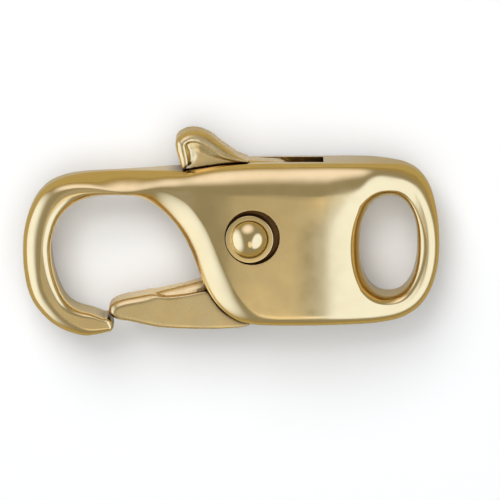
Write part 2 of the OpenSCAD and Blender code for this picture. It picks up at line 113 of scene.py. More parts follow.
# Outer edge of the eye, clockwise from the top, in mm.
# x, y: edge; r_out, d_out: rounding of the edge over the face and its depth; r_eye, d_eye: the same for the
# hole's edge; n_out, n_eye: 2 where the edge is round, less where it is more like a chamfer
RIM = [
    [3.95, 2.945, 1.08, 0.60, 0.36, 0.54, 1.75, 1.40],
    [4.60, 2.945, 0.98, 0.58, 0.32, 0.48, 1.75, 1.40],
    [5.25, 2.93, 0.82, 0.56, 0.29, 0.43, 1.70, 1.40],
    [5.80, 2.89, 0.69, 0.54, 0.26, 0.40, 1.62, 1.40],
    [6.30, 2.80, 0.60, 0.52, 0.27, 0.38, 1.56, 1.45],
    [6.72, 2.58, 0.56, 0.50, 0.29, 0.37, 1.52, 1.60],
    [7.03, 2.22, 0.54, 0.48, 0.31, 0.36, 1.52, 1.80],
    [7.24, 1.78, 0.51, 0.45, 0.33, 0.35, 1.58, 1.95],
    [7.38, 1.25, 0.46, 0.40, 0.34, 0.35, 1.70, 2.00],
    [7.47, 0.66, 0.42, 0.34, 0.34, 0.35, 1.85, 2.00],
    [7.50, 0.03, 0.40, 0.31, 0.34, 0.35, 2.00, 2.00],
    [7.475, -0.60, 0.39, 0.30, 0.34, 0.35, 2.00, 2.00],
    [7.37, -1.21, 0.39, 0.30, 0.34, 0.35, 2.00, 2.00],
    [7.16, -1.79, 0.39, 0.31, 0.34, 0.36, 2.00, 2.00],
    [6.84, -2.27, 0.40, 0.32, 0.33, 0.37, 2.00, 1.90],
    [6.43, -2.59, 0.41, 0.33, 0.31, 0.38, 2.00, 1.70],
    [5.92, -2.79, 0.42, 0.34, 0.29, 0.40, 2.00, 1.50],
    [5.25, -2.885, 0.42, 0.35, 0.30, 0.44, 2.00, 1.40],
    [4.60, -2.91, 0.42, 0.35, 0.33, 0.49, 2.00, 1.40],
    [3.95, -2.915, 0.42, 0.35, 0.36, 0.54, 2.00, 1.40],
]

# Thickness along the clasp, as a share of the greatest one: x in mm, share
THICKNESS = [
    [-8.0, 0.60],
    [-4.4, 0.60],
    [-3.6, 0.63],
    [-2.8, 0.70],
    [-1.9, 0.82],
    [-1.1, 0.93],
    [-0.3, 0.985],
    [0.6, 1.0],
    [2.0, 1.0],
    [2.4, 0.997],
    [2.85, 0.983],
    [3.35, 0.957],
    [3.65, 0.934],
    [4.05, 0.891],
    [4.45, 0.837],
    [4.85, 0.779],
    [5.4, 0.697],
    [6.1, 0.600],
    [6.6, 0.549],
    [7.0, 0.524],
    [7.6, 0.508],
]

# Outline of the gate, clockwise, in mm: x, y; reach, depth and power of the edge's rounding
GATE = [
    [-4.42, -2.540, 0.24, 0.28, 2.00],
    [-4.37, -2.350, 0.22, 0.19, 1.35],
    [-4.21, -2.180, 0.22, 0.19, 1.35],
    [-3.87, -2.055, 0.22, 0.19, 1.35],
    [-3.45, -1.975, 0.22, 0.19, 1.35],
    [-3.10, -1.905, 0.22, 0.19, 1.35],
    [-2.82, -1.870, 0.18, 0.15, 1.40],
    [-2.55, -1.930, 0.08, 0.08, 2.00],
    [-2.28, -1.960, 0.06, 0.07, 2.00],
    [-1.66, -1.890, 0.06, 0.07, 2.00],
    [-1.20, -1.800, 0.06, 0.07, 2.00],
    [-0.84, -1.760, 0.05, 0.06, 2.00],
    [-0.66, -2.020, 0.04, 0.05, 2.00],
    [-0.42, -2.340, 0.04, 0.04, 2.00],
    [-0.19, -2.550, 0.04, 0.04, 2.00],
    [0.05, -2.700, 0.04, 0.04, 2.00],
    [0.30, -2.830, 0.04, 0.04, 2.00],
    [0.60, -2.910, 0.04, 0.04, 2.00],
    [0.66, -3.000, 0.04, 0.04, 2.00],
    [0.35, -3.080, 0.05, 0.05, 2.00],
    [-0.30, -3.130, 0.06, 0.06, 2.00],
    [-1.15, -3.140, 0.08, 0.08, 2.00],
    [-2.05, -3.120, 0.09, 0.09, 2.00],
    [-2.65, -3.070, 0.10, 0.10, 2.00],
    [-3.15, -2.970, 0.10, 0.10, 2.00],
    [-3.55, -2.880, 0.11, 0.11, 2.00],
    [-3.98, -2.820, 0.14, 0.16, 2.00],
    [-4.18, -2.770, 0.18, 0.20, 2.00],
    [-4.36, -2.660, 0.22, 0.26, 2.00],
]

# Outline of the rib along the top of the gate, clockwise, in mm, with the gate's columns and two more: how
# far the face's edge lies below the highest one, and how far the surface drops inside that edge
RIB = [
    [-3.40, -2.20, 0.10, 0.10, 2.0, 0.30, 0.0],
    [-3.05, -2.00, 0.20, 0.18, 1.4, 0.20, 0.0],
    [-2.80, -1.86, 0.24, 0.20, 1.35, 0.14, 0.0],
    [-2.39, -1.75, 0.26, 0.22, 1.3, 0.14, 0.0],
    [-1.66, -1.584, 0.26, 0.22, 1.3, 0.16, 0.08],
    [-1.20, -1.457, 0.26, 0.22, 1.3, 0.16, 0.08],
    [-0.84, -1.36, 0.14, 0.12, 1.5, 0.18, 0.0],
    [-0.62, -1.70, 0.08, 0.08, 2.0, 0.18, 0.0],
    [-0.60, -2.20, 0.08, 0.08, 2.0, 0.18, 0.0],
    [-1.20, -2.55, 0.08, 0.08, 2.0, 0.18, 0.0],
    [-2.20, -2.65, 0.08, 0.08, 2.0, 0.20, 0.0],
    [-3.10, -2.60, 0.08, 0.08, 2.0, 0.26, 0.0],
]

# Outline of the thin web of the lever, in the slot, clockwise, in mm, with the gate's columns
WEB = [
    [-2.60, -2.40, 0.14, 0.14, 2.0],
    [-2.20, -2.00, 0.20, 0.20, 2.0],
    [-1.66, -1.80, 0.20, 0.20, 2.0],
    [-1.20, -1.62, 0.20, 0.20, 2.0],
    [-0.92, -1.20, 0.14, 0.14, 2.0],
    [-0.92, -0.60, 0.14, 0.12, 2.0],
    [-0.96, 0.10, 0.14, 0.12, 2.0],
    [-0.98, 0.80, 0.14, 0.12, 2.0],
    [-1.08, 1.50, 0.14, 0.12, 2.0],
    [-1.28, 2.10, 0.14, 0.12, 2.0],
    [-1.45, 2.55, 0.14, 0.12, 2.0],
    [-1.48, 3.00, 0.14, 0.12, 2.0],
    [-1.20, 3.40, 0.14, 0.12, 2.0],
    [-0.60, 3.50, 0.14, 0.12, 2.0],
    [-0.10, 3.33, 0.14, 0.12, 2.0],
    [0.36, 3.04, 0.14, 0.12, 2.0],
    [0.75, 2.98, 0.14, 0.12, 2.0],
    [1.20, 2.95, 0.14, 0.12, 2.0],
    [1.70, 2.92, 0.14, 0.12, 2.0],
    [2.05, 2.78, 0.14, 0.12, 2.0],
    [2.22, 2.40, 0.14, 0.12, 2.0],
    [2.20, 1.50, 0.14, 0.12, 2.0],
    [2.02, 0.60, 0.14, 0.12, 2.0],
    [1.90, -0.40, 0.14, 0.12, 2.0],
    [1.72, -1.40, 0.14, 0.12, 2.0],
    [1.40, -2.25, 0.14, 0.12, 2.0],
    [1.05, -2.76, 0.14, 0.12, 2.0],
    [0.68, -2.95, 0.14, 0.12, 2.0],
    [0.20, -3.03, 0.14, 0.12, 2.0],
    [-0.60, -3.05, 0.14, 0.12, 2.0],
    [-1.80, -3.04, 0.14, 0.12, 2.0],
    [-2.50, -2.98, 0.14, 0.12, 2.0],
    [-2.90, -2.70, 0.14, 0.12, 2.0],
]

# Outline of the thumb piece, clockwise, in mm, with the rib's columns: the front edge is a raised bead
THUMB = [
    [-1.74, 2.68, 0.20, 0.20, 2.0, 0.12, 0.10],
    [-1.87, 3.08, 0.26, 0.28, 2.0, 0.02, 0.20],
    [-1.97, 3.42, 0.28, 0.30, 2.0, 0.0, 0.21],
    [-1.99, 3.66, 0.28, 0.30, 2.0, 0.0, 0.20],
    [-1.91, 3.84, 0.28, 0.30, 2.0, 0.02, 0.16],
    [-1.71, 3.98, 0.28, 0.32, 2.0, 0.05, 0.11],
    [-1.48, 4.06, 0.30, 0.34, 2.0, 0.09, 0.07],
    [-1.20, 4.06, 0.32, 0.36, 2.0, 0.13, 0.04],
    [-0.96, 4.00, 0.34, 0.38, 2.0, 0.15, 0.03],
    [-0.72, 3.88, 0.34, 0.38, 2.0, 0.16, 0.02],
    [-0.38, 3.62, 0.32, 0.36, 2.0, 0.17, 0.02],
    [-0.04, 3.36, 0.26, 0.30, 2.0, 0.18, 0.0],
    [0.24, 3.16, 0.16, 0.20, 2.0, 0.18, 0.0],
    [0.52, 3.03, 0.06, 0.08, 2.0, 0.18, 0.0],
    [0.62, 2.955, 0.03, 0.03, 2.0, 0.20, 0.0],
    [0.30, 2.925, 0.03, 0.03, 2.0, 0.22, 0.0],
    [-0.15, 2.885, 0.03, 0.03, 2.0, 0.24, 0.0],
    [-0.50, 2.845, 0.03, 0.03, 2.0, 0.25, 0.0],
    [-1.00, 2.765, 0.03, 0.03, 2.0, 0.26, 0.0],
    [-1.40, 2.705, 0.04, 0.04, 2.0, 0.26, 0.0],
]

# Slot between the cheeks, in mm: x, y
SLOT = [
    [-1.62, 3.6],
    [-1.62, -0.4],
    [-2.2, -1.6],
    [-2.2, -3.6],
    [1.55, -3.6],
    [1.55, -2.7],
    [2.7, -1.2],
    [3.32, -0.4],
    [3.32, 3.6],
]

# The eye's oval: its middle in mm, and its power, 2 for an ellipse and more for a fuller oval
EYE_MIDDLE = Vector((5.68, -0.09))
EYE_POWER = 2.3

# Near the top edge the eye's slope starts later, by this much times the square of the height, up to a height.
# The delay sets in from a place along the clasp over a run and fades out over a run to another place, in mm.
SLOPE_DELAY = 0.24
DELAY_TOP = 2.7
DELAY_START = 2.2
DELAY_RUN_IN = 1.2
DELAY_END = 6.6
DELAY_RUN_OUT = 1.8

# Rows between two rows of a table
THICKNESS_STEPS = 6
LINE_STEPS = 5
RIM_STEPS = 4
OUTLINE_STEPS = 4

# Points along the parts of a line: the body's roundings, the faces, the eye's edge and its ring
FILLET_STEPS = 14
FACE_STEPS = 24
HOLE_STEPS = 10
RING_STEPS = 8

# Levels of the lever's roundings and beads, and shares of the way from a plate's edge to its middle
EDGE_STEPS = 8
BEAD_STEPS = 8
FACE_SHARES = (0.06, 0.2, 0.4, 0.6, 0.8)

# Steps of the small roundings, of the dome and round a turned piece
LIP_STEPS = 5
DOME_STEPS = 24
TURN_STEPS = 96

# The most of a line's length that both its roundings take, and that the one at the hole takes
EDGE_SHARE = 0.98
HOLE_SHARE = 0.9

# Width of a bead as a multiple of its drop: its inner side falls at no more than 55 degrees
BEAD_WIDTH = 1.1

# The hook's rounded tip: its reach in mm, the angles of its cross lines in degrees, the share that is left of
# the roundings' reach, and the share of what the tip draws in by which they deepen
TIP_REACH = 0.19
TIP_ANGLES = (84, 72, 60, 48, 36, 24, 12)
TIP_EDGE_SHARE = 0.8
TIP_DEEPENING = 0.9

# Points of one piece closer than this are the same, and points of two pieces on a seam, in mm
SAME_POINT = 1e-4
SEAM = 2e-3

# Recesses and bores for the rivet, in mm. The upper recess lies a little off the rivet, which opens a dark
# crescent beside the flange, as in the photo.
RECESS_DEPTH = 0.34
RECESS_PLACE = HUB + Vector((0.10, 0.07, 0))
RECESS_LIP = 0.015
END_RECESS_RADIUS = 0.62
END_RECESS_LIP = 0.05
BORE_RADIUS = 0.38
LEVER_BORE_RADIUS = 0.40

# The rivet, in mm: how far its flange and its closed end lie under the cheeks' faces, how far under them the
# shaft begins, the radii of the shaft and the closed end, and the rounding of both edges
FLANGE_SUNK = 0.03
END_SUNK = 0.02
SHAFT_SUNK = 0.32
SHAFT_RADIUS = 0.36
END_RADIUS = 0.6
RIVET_EDGE = 0.035

# The lever, in mm: the lowest place of the rib's face and how low it lies, the middle of the thumb piece's
# hollow, and the grain at which its plates are melted into one casting
RIB_FOOT = (-2.0, -2.2)
RIB_FOOT_DEPTH = 0.28
HOLLOW_MIDDLE = (-1.15, 3.3)
CASTING_GRAIN = 0.032

# Real sizes of the gold's patterns, in mm: how far off a surface still casts the painted shade in gaps and
# creases, patches of haze, waves left by tumbling, and buffing marks. The marks of 0.01 mm are drawn 0.05 mm
# apart, so that they show in the picture.
GAP_SHADE_REACH = 0.8
HAZE = 0.7
WAVE = 1.4
MARK = 0.05

# Lights that only the gold mirrors: name, place and size in metres, radiance, share of the width over which
# each side dims, colour in linear light
MIRRORED_LIGHTS = [
    ("right_softbox", (0.205, -0.067, 0.255), (0.6, 0.388), 1.65, 0.19, (0.42, 0.55, 0.99)),
    ("left_softbox", (-0.276, -0.059, 0.08), (0.8, 0.66), 1.68, 0.34, (0.42, 0.55, 0.99)),
    ("top_strip", (-0.042, 0.243, 0.185), (0.44, 0.40), 1.35, 0.4, (0.52, 0.54, 0.86)),
    ("ceiling_card", (0.01, -0.122, 0.25), (0.1, 0.2), 0.62, 0.2, (1.0, 0.94, 0.94)),
]

# Lights that the gold doesn't mirror: name, place and size in metres, radiance, colour in linear light
MATT_LIGHTS = [
    ("key_light", (-0.0976, 0.251, 0.2957), (0.26, 0.26), 4.65, (1, 1, 1)),
    ("overhead_fill", (0.0, 0.0, 0.7), (0.8, 0.8), 1.5, (0.95, 0.98, 1.0)),
]

# What every light faces: the middle of the clasp, in metres
LIGHTS_AIM = Vector((0, 0, 1.5 * MM))

# A sheet that only the gold mirrors, painted to stand in for the floor in its reflections: half its width and
# depth, the colours of its painted reflection in linear light by the distance from its middle in those
# halves, pale near the clasp and dim and warm away from it, and how high it lies. The floors are as wide as
# FLOOR_SIZE, in metres.
REFLECTION_SHEET_HALVES = (9 * MM, 4.6 * MM)
PAINTED_REFLECTION_COLOURS = [(0.45, (0.78, 0.78, 0.8)), (0.72, (0.55, 0.55, 0.55)), (1.0, (0.41, 0.36, 0.22))]
REFLECTION_SHEET_HEIGHT = 0.02 * MM
FLOOR_SIZE = 3.0

# Colours of the room in linear light, by height from the horizon: a warm wall and a grey ceiling
ROOM_COLOURS = [(0.04, (0.36, 0.305, 0.15)), (0.42, (0.29, 0.29, 0.29))]

# The camera: width of its sensor in mm, and where the middle of the picture lies from the clasp's, in metres
SENSOR_WIDTH = 36.0
VIEW_RIGHT = 0.682 * MM
VIEW_DOWN = 0.361 * MM


def to_linear(code):
    """A colour written as sRGB hex, in the linear light that the shaders use."""
    parts = [int(code[i : i + 2], 16) / 255 for i in (1, 3, 5)]
    return [c / 12.92 if c <= 0.04045 else ((c + 0.055) / 1.055) ** 2.4 for c in parts]


class ClaspSizes(bpy.types.PropertyGroup):
    """Sizes of the clasp that a user would change."""

    slot_width: bpy.props.FloatProperty(
        name="Slot width",
        description="Width of the slot between the cheeks",
        default=1.2 * MM,
        min=0.9 * MM,
        max=1.3 * MM,
        unit="LENGTH",
        precision=5,
    )
    web_width: bpy.props.FloatProperty(
        name="Web width",
        description="Thickness of the lever where it runs in the slot",
        default=1.08 * MM,
        min=0.6 * MM,
        max=1.2 * MM,
        unit="LENGTH",
        precision=5,
    )
    gate_width: bpy.props.FloatProperty(
        name="Gate width",
        description="Thickness of the gate that closes the hook",
        default=1.44 * MM,
        min=1.2 * MM,
        max=2.6 * MM,
        unit="LENGTH",
        precision=5,
    )
    thumb_width: bpy.props.FloatProperty(
        name="Thumb piece width",
        description="Thickness of the piece that the thumb presses",
        default=1.92 * MM,
        min=1.2 * MM,
        max=2.6 * MM,
        unit="LENGTH",
        precision=5,
    )
    thumb_hollow: bpy.props.FloatProperty(
        name="Thumb hollow",
        description="Depth of the hollow in each face of the thumb piece",
        default=0.25 * MM,
        min=0.0,
        max=0.3 * MM,
        unit="LENGTH",
        precision=5,
    )
    eye_width: bpy.props.FloatProperty(
        name="Eye width",
        description="Width of the oval eye along the clasp",
        default=2.1 * MM,
        min=1.0 * MM,
        max=4.0 * MM,
        unit="LENGTH",
        precision=5,
    )
    eye_height: bpy.props.FloatProperty(
        name="Eye height",
        description="Height of the oval eye across the clasp",
        default=3.66 * MM,
        min=1.5 * MM,
        max=6.0 * MM,
        unit="LENGTH",
        precision=5,
    )
    dome_radius: bpy.props.FloatProperty(
        name="Dome radius",
        description="Radius of the rivet's dome",
        default=0.70 * MM,
        min=0.4 * MM,
        max=1.0 * MM,
        unit="LENGTH",
        precision=5,
    )
    dome_height: bpy.props.FloatProperty(
        name="Dome height",
        description="Height of the rivet's dome over its flange",
        default=0.38 * MM,
        min=0.2 * MM,
        max=0.8 * MM,
        unit="LENGTH",
        precision=5,
    )
    flange_radius: bpy.props.FloatProperty(
        name="Flange radius",
        description="Radius of the flat flange under the dome",
        default=0.865 * MM,
        min=0.6 * MM,
        max=1.2 * MM,
        unit="LENGTH",
        precision=5,
    )
    recess_radius: bpy.props.FloatProperty(
        name="Recess radius",
        description="Radius of the recess that the flange sits in",
        default=0.99 * MM,
        min=0.7 * MM,
        max=1.3 * MM,
        unit="LENGTH",
        precision=5,
    )


class ClaspFinish(bpy.types.PropertyGroup):
    """Colours and polish of the gold, and the colour of its painted shade in gaps and creases."""

    gold: bpy.props.FloatVectorProperty(
        name="Gold",
        description="Colour of the gold where it is freshly polished",
        subtype="COLOR",
        size=3,
        min=0.0,
        max=1.0,
        default=to_linear("#ffe29e"),
    )
    deep_gold: bpy.props.FloatVectorProperty(
        name="Deep gold",
        description="Colour of the gold where handling has toned it",
        subtype="COLOR",
        size=3,
        min=0.0,
        max=1.0,
        default=to_linear("#f4d38c"),
    )
    # painted shade: the dark brown that gaps, creases and recesses are painted in, wherever nearby surfaces
    # enclose the gold
    gap_shade: bpy.props.FloatVectorProperty(
        name="Gap shade",
        description="Colour of the gold in the gaps, where no buff reaches",
        subtype="COLOR",
        size=3,
        min=0.0,
        max=1.0,
        default=to_linear("#5e4020"),
    )
    polish: bpy.props.FloatProperty(
        name="Roughness",
        description="Roughness of the polished casting",
        default=0.17,
        min=0.02,
        max=0.6,
        subtype="FACTOR",
    )


class ClaspStage(bpy.types.PropertyGroup):
    """The floor's colour and the camera."""

    floor: bpy.props.FloatVectorProperty(
        name="Floor",
        description="Colour of the floor",
        subtype="COLOR",
        size=3,
        min=0.0,
        max=1.0,
        default=to_linear("#f4f4f5"),
    )
    tilt: bpy.props.FloatProperty(
        name="Camera tilt",
        description="Angle of the camera from straight above, towards the thumb piece",
        default=math.radians(10),
        min=0.0,
        max=math.radians(60),
        subtype="ANGLE",
    )
    distance: bpy.props.FloatProperty(
        name="Camera distance",
        description="Distance of the camera from the clasp",
        default=0.2,
        min=0.05,
        max=2.0,
        unit="LENGTH",
    )
    view_width: bpy.props.FloatProperty(
        name="View width",
        description="Width of what the camera takes in",
        default=18.05 * MM,
        min=5 * MM,
        max=0.1,
        unit="LENGTH",
        precision=5,
    )


def curve(a, b, c, d, t):
    """A value on the smooth curve through four neighbours, from b at 0 to c at 1."""
    return 0.5 * (2 * b + (c - a) * t + (2 * a - 5 * b + 4 * c - d) * t**2 + (3 * b - a - 3 * c + d) * t**3)


def smoothed(rows, steps, loop=False):
    """The rows of a table with new rows between them, for an open table or a closed outline."""
    count = len(rows)
    row = (lambda i: rows[i % count]) if loop else (lambda i: rows[min(max(i, 0), count - 1)])
    found = [
        [curve(*column, j / steps) for column in zip(row(i - 1), row(i), row(i + 1), row(i + 2))]
        for i in range(count if loop else count - 1)
        for j in range(steps)
    ]
    return found if loop else found + [list(rows[-1])]


THICKNESS_LINE = smoothed(THICKNESS, THICKNESS_STEPS)


def clamped(share):
    """A share, kept between 0 and 1."""
    return max(0.0, min(1.0, share))


def share_at(x):
    """Thickness of the body at a distance along it, as a share of the greatest one."""
    for (xa, a), (xb, b) in zip(THICKNESS_LINE, THICKNESS_LINE[1:]):
        if x <= xb:
            return a + (b - a) * (max(x, xa) - xa) / (xb - xa)
    return THICKNESS_LINE[-1][1]


def half_at(x, y):
    """Half the body's thickness at a place on its face."""
    delay = SLOPE_DELAY * max(0.0, min(y, DELAY_TOP)) ** 2
    delay *= clamped((DELAY_END - x) / DELAY_RUN_OUT) * clamped((x - DELAY_START) / DELAY_RUN_IN)
    return FACE * min(1.0, share_at(x - delay))


def face_point(p, drop, side):
    """A point of a face: a place, how far it drops under the face, and which side."""
    return Vector((p.x, p.y, side * (half_at(p.x, p.y) - drop)))


def quarter(steps):
    """Angles over a quarter turn."""
    return [math.pi / 2 * i / steps for i in range(steps + 1)]


def rounding(steps, power):
    """Shares of reach and depth left over along a rounded edge, from its outside to the face it meets."""
    found = [(1 - math.cos(a) ** (2 / power), 1 - math.sin(a) ** (2 / power)) for a in quarter(steps)[:-1]]
    return found + [(1.0, 0.0)]


def body_side(row, side):
    """The upper or lower half of a cross line of the body, from its outer edge to its inner edge."""
    outer, inner = Vector(row[0:2]), Vector(row[2:4])
    reach = (inner - outer).length
    way = (inner - outer) / reach
    fit = min(1.0, EDGE_SHARE * reach / (row[4] + row[5]))
    r_out, r_in = row[4] * fit, row[5] * fit
    found = [face_point(outer + way * r_out * u, row[6] * d, side) for u, d in rounding(FILLET_STEPS, row[8])]
    for i in range(1, FACE_STEPS + 1):
        flat = (reach - r_out - r_in) * i / (FACE_STEPS + 1)
        found.append(face_point(outer + way * (r_out + flat), 0, side))
    for u, d in reversed(rounding(FILLET_STEPS, row[9])):
        found.append(face_point(inner - way * r_in * u, row[7] * d, side))
    return found


def body_line(row):
    """A whole cross line of the body as a closed loop."""
    upper, lower = body_side(row, 1), body_side(row, -1)
    return [Vector((row[0], row[1], 0)), *upper, Vector((row[2], row[3], 0)), *reversed(lower)]


def tip_line(angle):
    """A cross line of the rounded end at the hook's tip."""
    row = LINES[0]
    outer, inner = Vector(row[0:2]), Vector(row[2:4])
    way = (inner - outer).normalized()
    out = Vector((way.y, -way.x)) * TIP_REACH * math.sin(angle)
    drawn = TIP_REACH * (1 - math.cos(angle))
    outer, inner = outer + way * drawn + out, inner - way * drawn + out
    reaches = [r * TIP_EDGE_SHARE for r in row[4:6]]
    depths = [d + drawn * TIP_DEEPENING for d in row[6:8]]
    line = body_line([*outer, *inner, *reaches, *depths, *row[8:10]])
    # the line draws in from both faces too; only its two end points lie in the middle
    for p in line:
        p.z -= math.copysign(drawn, p.z) if p.z else 0.0
    return line


def eye_edge(toward, sizes):
    """The point of the oval eye's edge in the direction of a place."""
    way = (toward - EYE_MIDDLE).normalized()
    width, height = sizes.eye_width / MM / 2, sizes.eye_height / MM / 2
    far = (abs(way.x) / width) ** EYE_POWER + (abs(way.y) / height) ** EYE_POWER
    return EYE_MIDDLE + way * far ** (-1 / EYE_POWER)


def ring_side(p, inward, r_out, d_out, r_eye, d_eye, n_out, n_eye, side, sizes):
    """One side of a line across the eye's ring, from the hole outwards."""
    hole = eye_edge(p, sizes)
    stop = p + inward * r_out
    reach = (stop - hole).length
    way = (stop - hole) / reach
    room = min(r_eye, HOLE_SHARE * reach)
    found = [face_point(hole + way * room * u, d_eye * d, side) for u, d in rounding(HOLE_STEPS, n_eye)]
    for i in range(1, RING_STEPS + 1):
        found.append(face_point(hole + way * (room + (reach - room) * i / (RING_STEPS + 1)), 0, side))
    for u, d in reversed(rounding(FILLET_STEPS, n_out)):
        found.append(face_point(p + inward * r_out * u, d_out * d, side))
    return found


def rim_lines(sizes):
    """Closed lines across the eye's ring, clockwise from its top."""
    rows = smoothed(RIM, RIM_STEPS)
    last = len(rows) - 1
    found = []
    for i, row in enumerate(rows):
        before, after = rows[max(i - 1, 0)], rows[min(i + 1, last)]
        inward = Vector((after[1] - before[1], before[0] - after[0])).normalized()
        if i == 0:
            inward = Vector((0, -1))
        elif i == last:
            inward = Vector((0, 1))
        p = Vector(row[0:2])
        upper, lower = (ring_side(p, inward, *row[2:8], side, sizes) for side in (1, -1))
        found.append([Vector((*eye_edge(p, sizes), 0)), *upper, Vector((*p, 0)), *reversed(lower)])
    return found


def seam_lines(sizes):
    """Open lines from the eye to the body's last cross line, from the lower end to the upper one."""
    row = LINES[-1]
    top, low = row[1] - row[4], row[3] + row[5]
    last = FACE_STEPS + 1
    r_eye, d_eye, n_eye = RIM[0][4], RIM[0][5], RIM[0][7]
    found = []
    for i in range(last, -1, -1):
        p = Vector((row[0], top + (low - top) * i / last))
        # the first and last of these lie on the ring's own lines, which start from the outer edge
        edge = {0: Vector(row[0:2]), last: Vector((row[0], row[3]))}.get(i, p)
        inward = (p - edge).normalized()
        reach = (p - edge).length
        halves = []
        for side in (1, -1):
            # the line's outer rounding is left off, because the body's last cross line takes its place
            line = ring_side(edge, inward, reach, 0, r_eye, d_eye, n_eye, n_eye, side, sizes)
            halves.append([*line[: -(FILLET_STEPS + 1)], face_point(p, 0, side)])
        found.append([*reversed(halves[0]), Vector((*eye_edge(edge, sizes), 0)), *halves[1]])
    return found


def deselect():
    """Leaves nothing selected, so that an operator acts on its own piece alone."""
    bpy.ops.object.select_all(action="DESELECT")


def pick(piece):
    """Selects the piece alone and makes it active for the operators that follow."""
    deselect()
    piece.select_set(True)
    bpy.context.view_layer.objects.active = piece


def point_ring(name, count, closed=True):
    """A new piece in edit mode, selected all over: a ring of points, or a line of them."""
    deselect()
    bpy.ops.mesh.primitive_circle_add(vertices=count, radius=1.0)
    piece = bpy.context.object
    piece.name = piece.data.name = name
    bpy.ops.object.mode_set(mode="EDIT")
    if not closed:
        bpy.ops.mesh.select_all(action="DESELECT")
        mesh = bmesh.from_edit_mesh(piece.data)
        for e in mesh.edges:
            e.select = {v.index for v in e.verts} == {0, count - 1}
        bmesh.update_edit_mesh(piece.data)
        bpy.ops.mesh.delete(type="EDGE")
        bpy.ops.mesh.select_all(action="SELECT")
    return piece


def cap(piece, start, count):
    """Closes a ring of a piece in edit mode with a face: the ring's first point, and how many it has."""
    bpy.ops.mesh.select_all(action="DESELECT")
    mesh = bmesh.from_edit_mesh(piece.data)
    mesh.verts.ensure_lookup_table()
    for v in mesh.verts[start : start + count]:
        v.select = True
    mesh.select_flush(True)
    bpy.ops.mesh.edge_face_add()


def skin_done():
    """Turns the faces of the piece in edit mode outwards and leaves the mode."""
    bpy.ops.mesh.select_all(action="SELECT")
    bpy.ops.mesh.normals_make_consistent(inside=False)
    bpy.ops.object.mode_set(mode="OBJECT")


def drawn_out(name, lines, closed=True, capped=True):
    """A skin drawn out from line to line: a ring of points, extruded and moved to each next line."""
    count = len(lines[0])
    piece = point_ring(name, count, closed)
    mesh = bmesh.from_edit_mesh(piece.data)
    turn = mesh.verts.layers.int.new("turn")
    for i, v in enumerate(mesh.verts):
        v[turn] = i
    for n, line in enumerate(lines):
        if n:
            bpy.ops.mesh.extrude_region_move()
        mesh = bmesh.from_edit_mesh(piece.data)
        mesh.verts.ensure_lookup_table()
        turn = mesh.verts.layers.int["turn"]
        for v in mesh.verts[-count:]:
            v.co = line[v[turn]]
    bmesh.update_edit_mesh(piece.data)
    if capped:
        cap(piece, 0, count)
        cap(piece, count * (len(lines) - 1), count)
    skin_done()
    return piece


def turned(name, profile):
    """A turned piece: its profile of radius and height, spun about the upright axis."""
    piece = point_ring(name, len(profile), closed=False)
    mesh = bmesh.from_edit_mesh(piece.data)
    for v, (r, z) in zip(mesh.verts, profile):
        v.co = (r, 0, z)
    bmesh.update_edit_mesh(piece.data)
    bpy.ops.mesh.spin(steps=TURN_STEPS, angle=2 * math.pi, center=(0, 0, 0), axis=(0, 0, 1))
    bpy.ops.mesh.select_all(action="SELECT")
    bpy.ops.mesh.remove_doubles(threshold=SAME_POINT)
    skin_done()
    return piece


def moved(piece, place):
    """The piece with its place, in mm, applied to its mesh."""
    pick(piece)
    piece.location = place
    bpy.ops.object.transform_apply(location=True, rotation=True, scale=True)
    return piece


def joined(name, parts, weld=None):
    """Several pieces as one. With a weld, in mm, points on their seams that are closer than it are merged."""
    deselect()
    for part in parts:
        part.select_set(True)
    bpy.context.view_layer.objects.active = parts[0]
    bpy.ops.object.join()
    piece = bpy.context.object
    piece.name = piece.data.name = name
    if weld:
        bpy.ops.object.mode_set(mode="EDIT")
        bpy.ops.mesh.select_all(action="SELECT")
        bpy.ops.mesh.remove_doubles(threshold=weld)
        skin_done()
    return piece


def faces_at_edges(piece):
    """The number of faces at each edge of a piece."""
    mesh = bmesh.new()
    mesh.from_mesh(piece.data)
    found = [len(e.link_faces) for e in mesh.edges]
    mesh.free()
    return found


def apply_modifier(piece, kind, **settings):
    """Adds one modifier to the piece and applies it."""
    pick(piece)
    bpy.ops.object.modifier_add(type=kind)
    modifier = piece.modifiers[-1]
    for key, value in settings.items():
        setattr(modifier, key, value)
    bpy.ops.object.modifier_apply(modifier=modifier.name)


def cut(piece, cutters):
    """Takes each cutter out of the piece."""
    for cutter in cutters:
        apply_modifier(piece, "BOOLEAN", operation="DIFFERENCE", solver="EXACT", object=cutter)
        pick(cutter)
        bpy.ops.object.delete()
    if not piece.data.polygons:
        raise RuntimeError(f"nothing is left of {piece.name} after its cuts")
    # the cuts leave slivers without any area along the edges of their walls
    pick(piece)
    bpy.ops.object.mode_set(mode="EDIT")
    bpy.ops.mesh.select_all(action="SELECT")
    bpy.ops.mesh.remove_doubles(threshold=SAME_POINT)
    bpy.ops.mesh.dissolve_degenerate(threshold=SAME_POINT)
    bpy.ops.object.mode_set(mode="OBJECT")


def prism(name, outline, half):
    """A plain plate with the outline, from one side of the middle to the other."""
    return drawn_out(name, [[Vector((x, y, z)) for x, y in outline] for z in (half, -half)])


def drill(name, radius, half):
    """A cutter for the rivet's bore, from one side of the middle to the other."""
    return moved(turned(name, [(0, -half), (radius, -half), (radius, half), (0, half)]), HUB)


def sink(name, place, radius, lip, side):
    """A cutter for a round recess with a rounded lip in the upper or lower face."""
    floor = FACE - RECESS_DEPTH
    edge = [(radius + lip * (1 - math.cos(a)), FACE - lip + lip * math.sin(a)) for a in quarter(LIP_STEPS)]
    profile = [(0, floor), (radius, floor), *edge, (radius + lip, 2 * FACE), (0, 2 * FACE)]
    return moved(turned(name, [(r, side * z) for r, z in profile]), place)


